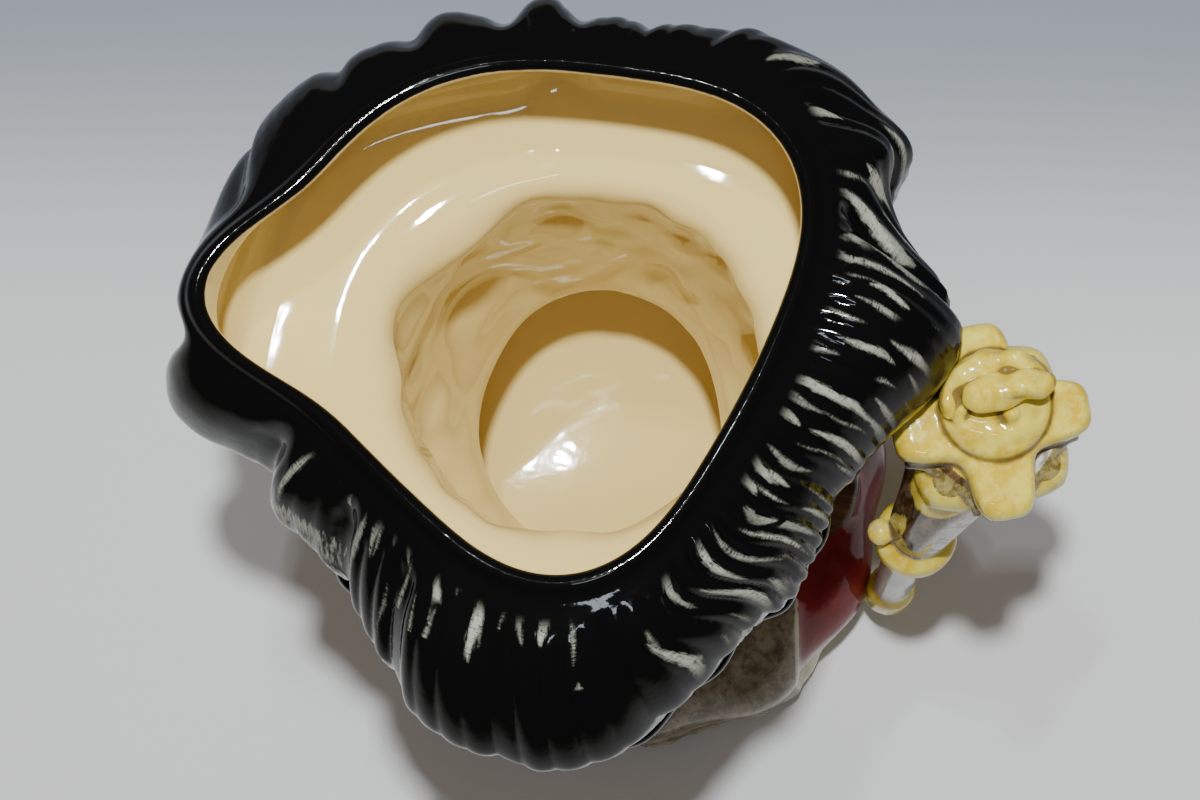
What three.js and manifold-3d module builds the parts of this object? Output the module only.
// A toby jug: a cavalier's head and shoulders under a wide feathered hat, slip-cast in one piece with its handle.
// Millimetres, +Z up. The origin is the middle of the flat underside, the face looks along -Y and the handle is
// at +X, with the pouring lip opposite it at -X. Angles run anticlockwise from +X, seen from above, in degrees.
import * as THREE from 'three'
import { mergeVertices } from 'three/addons/utils/BufferGeometryUtils.js'
import Module from 'manifold-3d'

// Driving dimensions
const HEIGHT = 190 // underside to the top of the lip
const FLOOR_THICKNESS = 7
const COLUMNS = 72 // facets around the jug
const FRONT = -90 // the direction the face looks
const CROWDING = 20 // degrees that the facets are drawn towards the face, where the carving is finest
const BRIM_HEIGHT = 145 // the brim's thin edge
const BRIM_THICKNESS = 4
const BRIM_WAVES = { count: 26, out: 1.1 }
const PLUME_FOOT = 150 // where the feathers tuck in above the brim
const PLUME_WIDEST = 159
const LIP_WIDTH = 5.4
const LIP_ROUND = 2.2
const LEDGE_HEIGHT = 149 // the floor of the hat, inside
const WELL_EDGE = 145 // where that floor turns down into the head
const HAT_WALL = 7
const PANEL_HALF = 51 // half-width of the tabard's front and back panels

// Outlines seen from above: a round of this radius, with corners that reach out of it over a spread of degrees
const MOUTH = {
  radius: 44,
  corners: [
    { at: -88, out: 15, spread: 32 },
    { at: 35, out: 14.7, spread: 33 },
    { at: 152, out: 16, spread: 76 }
  ]
}
const SPOUT = { at: 178, out: 20, spread: 17 }
const PLUMES = {
  radius: 73,
  corners: [
    { at: -93, out: 26, spread: 29 },
    { at: 38, out: 15, spread: 20 },
    { at: 0, out: 14, spread: 13 },
    { at: 150, out: 15, spread: 30 },
    { at: 180, out: 10, spread: 15 },
    { at: -170, out: 8, spread: 9 },
    { at: 93, out: 5, spread: 5 },
    { at: -48, out: 4, spread: 9 }
  ]
}

// Level rings of the figure: height, half-width to the side, reach to the front and reach to the back
const FIGURE = [
  { z: 0, side: 71, front: 73, back: 67 }, // foot
  { z: 12, side: 73, front: 76, back: 70 },
  { z: 27, side: 73, front: 75, back: 70 }, // chest and upper arms
  { z: 41, side: 67, front: 63, back: 64 }, // shoulders
  { z: 50, side: 55, front: 51, back: 54 },
  { z: 60, side: 45, front: 43, back: 46 }, // neck, under the collar and hair
  { z: 74, side: 46, front: 45, back: 46 }, // jaw
  { z: 94, side: 49, front: 48, back: 48 },
  { z: 117, side: 51, front: 49, back: 49 }, // eyes
  { z: 139, side: 51, front: 49, back: 48 } // under the brim
]
// The same rings inside: the chamber in the shoulders, the throat and the well of the head
const INSIDE = [
  { z: 7, side: 58, front: 60, back: 56 }, // floor
  { z: 15, side: 66, front: 68, back: 63 },
  { z: 28, side: 67, front: 68.5, back: 64 },
  { z: 39, side: 61, front: 58, back: 58 },
  { z: 50, side: 43, front: 42, back: 45 },
  { z: 61, side: 32, front: 33, back: 37 }, // throat
  { z: 76, side: 38, front: 38, back: 39 },
  { z: 108, side: 43.5, front: 42, back: 40 },
  { z: 138, side: 44, front: 43.5, back: 37 }
]
const SQUARENESS = 2.4 // of the shoulders in plan: 2 is an ellipse
const ROUND = 2

// Face, by heights from the underside and distances from its middle line
const FACE = { half: 36, brow: 124, eyes: 117, nose: 95, mouth: 84.5, chin: 69 }
const EYE_OUT = 15.5

// Handle: rounds of a staff that leans out, from its foot on the sleeve to its head under the boss
const STAFF = [
  { z: 15, x: 71, y: -40, r: 4 },
  { z: 19, x: 74, y: -42, r: 6.8 }, // foot
  { z: 29, x: 74.5, y: -42.5, r: 6.8 },
  { z: 33, x: 75, y: -43, r: 5.4 },
  { z: 84, x: 80.5, y: -43.5, r: 5.8 },
  { z: 86.5, x: 81, y: -44, r: 9.3 }, // collar
  { z: 92.5, x: 81.5, y: -44.3, r: 9.8 },
  { z: 95, x: 82, y: -44, r: 6.8 },
  { z: 118, x: 85, y: -39, r: 8.2 }, // grip
  { z: 134, x: 88, y: -33.5, r: 9.8 },
  { z: 147, x: 93.5, y: -25.5, r: 12.5 }
]
const STAFF_FACETS = 14
const BOSS = { x: 95, y: -23, top: 155, thickness: 11, arm: 23, armHalf: 7.8, turn: 8, facets: 40 }
const BOSS_TILT = { toFront: 6, toSide: 3 } // degrees
const DISC = { radius: 12.4, rise: 5 }
const KNOT = { length: 10, width: 3.2, thick: 3.4, turn: 14 }
const PETAL = { out: 11.5, below: 13, length: 6.5, width: 5.5, thick: 4, droop: 25 }

const RADIANS = Math.PI / 180
const wrapped = (degrees) => ((((degrees + 180) % 360) + 360) % 360) - 180
const bell = (distance, spread) => Math.exp(-((distance / spread) ** 2))
const share = (low, high, value) => THREE.MathUtils.clamp((value - low) / (high - low), 0, 1)
const smooth = (low, high, value) => share(low, high, value) ** 2 * (3 - 2 * share(low, high, value))
const mix = THREE.MathUtils.lerp

function outline({ radius, corners }, angle) {
  return corners.reduce((r, c) => r + c.out * bell(wrapped(angle - c.at), c.spread), radius)
}

// Catmull-Rom interpolation of one field of a list of level rings
function levelValue(rings, z, field) {
  const last = rings.length - 1
  let k = 0
  while (k < last - 1 && z > rings[k + 1].z) k += 1
  const t = THREE.MathUtils.clamp((z - rings[k].z) / (rings[k + 1].z - rings[k].z), 0, 1)
  const near = (i) => rings[THREE.MathUtils.clamp(i, 0, last)][field]
  const [before, from, to, after] = [near(k - 1), near(k), near(k + 1), near(k + 2)]
  const straight = (from * (1 - t)) + (to * t)
  const swing = (t * (1 - t) / 2) * ((1 - t) * (2 * from - before - to) + t * (2 * to - from - after))
  return straight + swing
}

// Radius of a level ring at an angle: a superellipse with its own reach to the front and to the back
function ringRadius(rings, angle, z) {
  const power = mix(SQUARENESS, ROUND, smooth(35, 60, z))
  const reach = Math.sin(angle * RADIANS) < 0 ? 'front' : 'back'
  const across = Math.abs(Math.cos(angle * RADIANS)) / levelValue(rings, z, 'side')
  const along = Math.abs(Math.sin(angle * RADIANS)) / levelValue(rings, z, reach)
  return (across ** power + along ** power) ** (-1 / power)
}

// Relief of the face, in mm out of the ring: x runs across it from the middle line
function faceRelief(x, z) {
  const side = Math.abs(x)
  const bridge = smooth(FACE.brow + 4, FACE.nose + 3, z)
  const nose = 13 * bridge * smooth(FACE.nose - 4, FACE.nose + 1, z) * bell(x, mix(4.5, 7.5, bridge))
  const brow = 2.5 * bell(z - FACE.brow, 4) * bell(side - 14, 12)
  const socket = -3.2 * bell(z - FACE.eyes, 6) * bell(side - EYE_OUT, 8)
  const eye = 2.4 * bell(z - FACE.eyes, 3.6) * bell(side - EYE_OUT, 6)
  const cheek = 3 * bell(z - 101, 11) * bell(side - 22, 10)
  const lips = 3.2 * bell(z - FACE.mouth, 5) * bell(x, 11)
  const chin = 5 * bell(z - FACE.chin, 7) * bell(x, 12)
  return nose + brow + socket + eye + cheek + lips + chin
}

// Relief of the hair: long waved locks that hang from under the brim and lie on the shoulders
function hairRelief(angle, z) {
  const wave = 20 * Math.sin((z - 50) / 12)
  const lock = Math.abs(Math.sin((angle * 6 + wave) * RADIANS))
  return 1 + 3.6 * lock + 1.5 * bell(z - 100, 22)
}

// Relief of the clothes: the tabard's two panels, the sleeves between them, their folds and the hem
function clothesRelief(angle, z, ring) {
  const across = Math.abs(ring * Math.cos(angle * RADIANS))
  const panel = 1.6 * smooth(PANEL_HALF + 1.5, PANEL_HALF - 1.5, across)
  const sleeve = 2 * smooth(PANEL_HALF + 1.5, PANEL_HALF + 12, across) * bell(z - 32, 20)
  const folds = 1.3 * Math.sin(13 * angle * RADIANS + 2 * Math.sin(z / 14)) * smooth(48, 20, z)
  const hem = 1.2 * bell(z - 6, 4)
  return panel + sleeve + folds + hem
}

// Radius of the figure outside, with its carving. The collar lies in front and the hair at both sides and behind.
function figureRadius(angle, z) {
  const ring = ringRadius(FIGURE, angle, z)
  const fromFront = wrapped(angle - FRONT)
  const x = ring * fromFront * RADIANS
  const behind = smooth(FACE.half - 3, FACE.half + 3, Math.abs(x))
  const hairFoot = 45 + 3 * Math.sin(angle * 7 * RADIANS)
  const collarFoot = 40 + 0.22 * Math.abs(x)
  const clothes = clothesRelief(angle, z, ring)
  const front = mix(clothes + 3 * smooth(collarFoot - 2, collarFoot + 1, z), faceRelief(x, z), smooth(57, 64, z))
  const back = mix(clothes, hairRelief(angle, z), smooth(hairFoot - 2, hairFoot + 2, z))
  return ring + mix(front, back, behind)
}

// The feathers' lumps and barbs: ridges that lean as they run down from the lip (0) to the tips (1)
function featherRelief(angle, down) {
  const lean = 16 * Math.sin((angle + 60) * RADIANS) * down
  const barbs = Math.sin((angle + lean) * 19 * RADIANS)
  const lumps = Math.sin((angle - lean) * 7 * RADIANS + 1)
  return (1.1 * barbs + 1.3 * lumps) * smooth(0.05, 0.4, down)
}

function mouthRadius(angle) {
  return outline(MOUTH, angle) + SPOUT.out * bell(wrapped(angle - SPOUT.at), SPOUT.spread)
}

function plumeRadius(angle) {
  return outline(PLUMES, angle)
}

// The feathers' outer side: a rounded quarter from the widest place (turn 0) up to the lip (turn 1)
function plumeAt(angle, turn) {
  const lip = mouthRadius(angle) + LIP_WIDTH
  const widest = plumeRadius(angle)
  const fullness = mix(0.8, 0.62, smooth(-0.2, 0.8, Math.sin(angle * RADIANS)))
  const r = mix(lip, widest, Math.cos(turn * 90 * RADIANS) ** fullness)
  const z = mix(PLUME_WIDEST, HEIGHT - LIP_ROUND, Math.sin(turn * 90 * RADIANS) ** 0.95)
  return { r: r + featherRelief(angle, 1 - turn), z }
}

// Inner wall of the hat: from the lip it runs out under the feathers, a wall's thickness inside them, and the
// spout's channel dies away as it goes down
function chamberRadius(angle, z) {
  const below = share(HEIGHT, LEDGE_HEIGHT, z)
  const mouth = outline(MOUTH, angle)
  const channel = SPOUT.out * bell(wrapped(angle - SPOUT.at), SPOUT.spread) * smooth(0.75, 0, below)
  const room = plumeRadius(angle) - HAT_WALL - mouth - channel
  return mouth + channel + room * smooth(0, 0.55, below) - 6 * smooth(0.7, 1, below)
}

// One column of the jug, from the edge of its underside up the outside, over the lip and down to its floor
function column(angle) {
  const figure = [2, 8, 15, 23, 31, 38, 43.5, 49, 54, 58, 62]
  for (let z = 66.8; z <= 138; z += 5.4) figure.push(z)
  const points = [{ r: figureRadius(angle, 0) - 2, z: 0 }]
  figure.forEach((z) => points.push({ r: figureRadius(angle, z), z }))

  const neckline = figureRadius(angle, 139)
  const plume = plumeRadius(angle)
  const wave = BRIM_WAVES.out * Math.sin(BRIM_WAVES.count * angle * RADIANS)
  const brim = plume - 1 + wave + 2.5 * bell(wrapped(angle + 45), 30)
  const half = BRIM_THICKNESS / 2
  points.push({ r: mix(neckline, brim, 0.5), z: BRIM_HEIGHT - 3 })
  points.push({ r: brim - half, z: BRIM_HEIGHT - half })
  points.push({ r: brim, z: BRIM_HEIGHT })
  points.push({ r: brim - half, z: BRIM_HEIGHT + half })
  points.push({ r: plume - 7, z: PLUME_FOOT - 1.5 })
  points.push({ r: plume - 3 + featherRelief(angle, 1), z: PLUME_FOOT + 1 })
  for (const turn of [0, 0.28, 0.53, 0.8]) points.push(plumeAt(angle, turn))

  const mouth = mouthRadius(angle)
  points.push({ r: mouth + LIP_WIDTH - 0.8, z: HEIGHT - 0.8 })
  points.push({ r: mouth + LIP_ROUND, z: HEIGHT })
  points.push({ r: mouth, z: HEIGHT - LIP_ROUND })

  for (const z of [178, 166, 154]) points.push({ r: chamberRadius(angle, z), z })
  const ledge = chamberRadius(angle, LEDGE_HEIGHT)
  const well = ringRadius(INSIDE, angle, WELL_EDGE - 7)
  points.push({ r: mix(well, ledge, 0.85), z: LEDGE_HEIGHT })
  points.push({ r: mix(well, ledge, 0.3), z: LEDGE_HEIGHT - 1.5 })
  points.push({ r: well + 1, z: WELL_EDGE - 1 })
  for (const z of [138, 116, 92, 74, 64, 57, 49, 39, 27, 15, FLOOR_THICKNESS]) {
    points.push({ r: ringRadius(INSIDE, angle, z), z })
  }
  return points
}

// A closed surface from columns of points about an upright line, which may lean, with a pole at each end
function columnSurface(columnAt, count, crowding = 0) {
  const even = Array.from({ length: count }, (_, i) => (i / count) * 360)
  const angles = even.map((angle) => angle - crowding * Math.sin((angle - FRONT) * RADIANS))
  const columns = angles.map(columnAt)
  const rows = columns[0].length
  const position = []
  columns.forEach((points, i) => {
    const turn = angles[i] * RADIANS
    points.forEach(({ r, z, x = 0, y = 0 }) => position.push(x + r * Math.cos(turn), y + r * Math.sin(turn), z))
  })
  const [bottom, top] = [count * rows, count * rows + 1]
  for (const { z, x = 0, y = 0 } of [columns[0][0], columns[0][rows - 1]]) position.push(x, y, z)
  const index = []
  for (let i = 0; i < count; i += 1) {
    const here = i * rows
    const next = ((i + 1) % count) * rows
    index.push(bottom, next, here, top, here + rows - 1, next + rows - 1)
    for (let j = 0; j < rows - 1; j += 1) {
      index.push(here + j, next + j, next + j + 1, here + j, next + j + 1, here + j + 1)
    }
  }
  const geometry = new THREE.BufferGeometry()
  geometry.setAttribute('position', new THREE.Float32BufferAttribute(position, 3))
  geometry.setIndex(index)
  return geometry
}

// Outline of the boss: two crossed bars with rounded ends
function bossOutline(angle) {
  const bar = (turned) => {
    const along = Math.abs(Math.cos(turned * RADIANS)) / BOSS.arm
    const across = Math.abs(Math.sin(turned * RADIANS)) / BOSS.armHalf
    return (along ** 4 + across ** 4) ** (-1 / 4)
  }
  const turned = angle - BOSS.turn
  return (bar(turned) ** 10 + bar(turned - 90) ** 10) ** (1 / 10)
}

function bossColumn(angle) {
  const r = bossOutline(angle)
  const { thickness } = BOSS
  return [
    { r: r - 2.5, z: -thickness },
    { r: r - 0.4, z: 2 - thickness },
    { r, z: -4 },
    { r: r - 1, z: -1.2 },
    { r: r - 3.2, z: 0 }
  ]
}

// The boss with its domed disc and the knot that lies across it, and a petal below each of its inner corners
function bossParts() {
  const disc = new THREE.SphereGeometry(DISC.radius, 20, 8).rotateX(Math.PI / 2)
  disc.scale(1, 1, DISC.rise / DISC.radius)
  const knot = new THREE.SphereGeometry(1, 12, 6).scale(KNOT.length, KNOT.width, KNOT.thick)
  knot.rotateZ(KNOT.turn * RADIANS).translate(1.5, 3, DISC.rise - 0.5)
  const petals = [1, 3, 5, 7].map((eighth) => {
    const petal = new THREE.SphereGeometry(1, 10, 6).scale(PETAL.length, PETAL.width, PETAL.thick)
    petal.rotateY(PETAL.droop * RADIANS).translate(PETAL.out, 0, -PETAL.below)
    return petal.rotateZ((BOSS.turn + eighth * 45) * RADIANS)
  })
  const parts = [columnSurface(bossColumn, BOSS.facets), disc, knot, ...petals]
  const tilt = new THREE.Matrix4().makeRotationFromEuler(
    new THREE.Euler(BOSS_TILT.toFront * RADIANS, BOSS_TILT.toSide * RADIANS, 0)
  )
  return parts.map((part) => part.applyMatrix4(tilt).translate(BOSS.x, BOSS.y, BOSS.top))
}

const wasm = await Module()
wasm.setup()

function solid(geometry) {
  const bare = geometry.clone()
  for (const name of Object.keys(bare.attributes)) if (name !== 'position') bare.deleteAttribute(name)
  const merged = mergeVertices(bare, 1e-4)
  return new wasm.Manifold(new wasm.Mesh({
    numProp: 3,
    vertProperties: new Float32Array(merged.attributes.position.array),
    triVerts: new Uint32Array(merged.index.array)
  }))
}

function geometryOf(manifold) {
  const { vertProperties, triVerts } = manifold.getMesh()
  const geometry = new THREE.BufferGeometry()
  geometry.setAttribute('position', new THREE.BufferAttribute(new Float32Array(vertProperties), 3))
  geometry.setIndex(new THREE.BufferAttribute(new Uint32Array(triVerts), 1))
  return geometry
}

// The handle is luted to the sleeve and to the brim, and fired as one with the jug
const pieces = [columnSurface(column, COLUMNS, CROWDING), columnSurface(() => STAFF, STAFF_FACETS), ...bossParts()]
const casting = pieces.map(solid).reduce((whole, piece) => whole.add(piece))

const glaze = new THREE.MeshStandardMaterial({ color: 0x16171a, roughness: 0.15, metalness: 0 })
const jug = new THREE.Mesh(geometryOf(casting), glaze)
jug.name = 'jug'
const group = new THREE.Group()
group.add(jug)
export default group
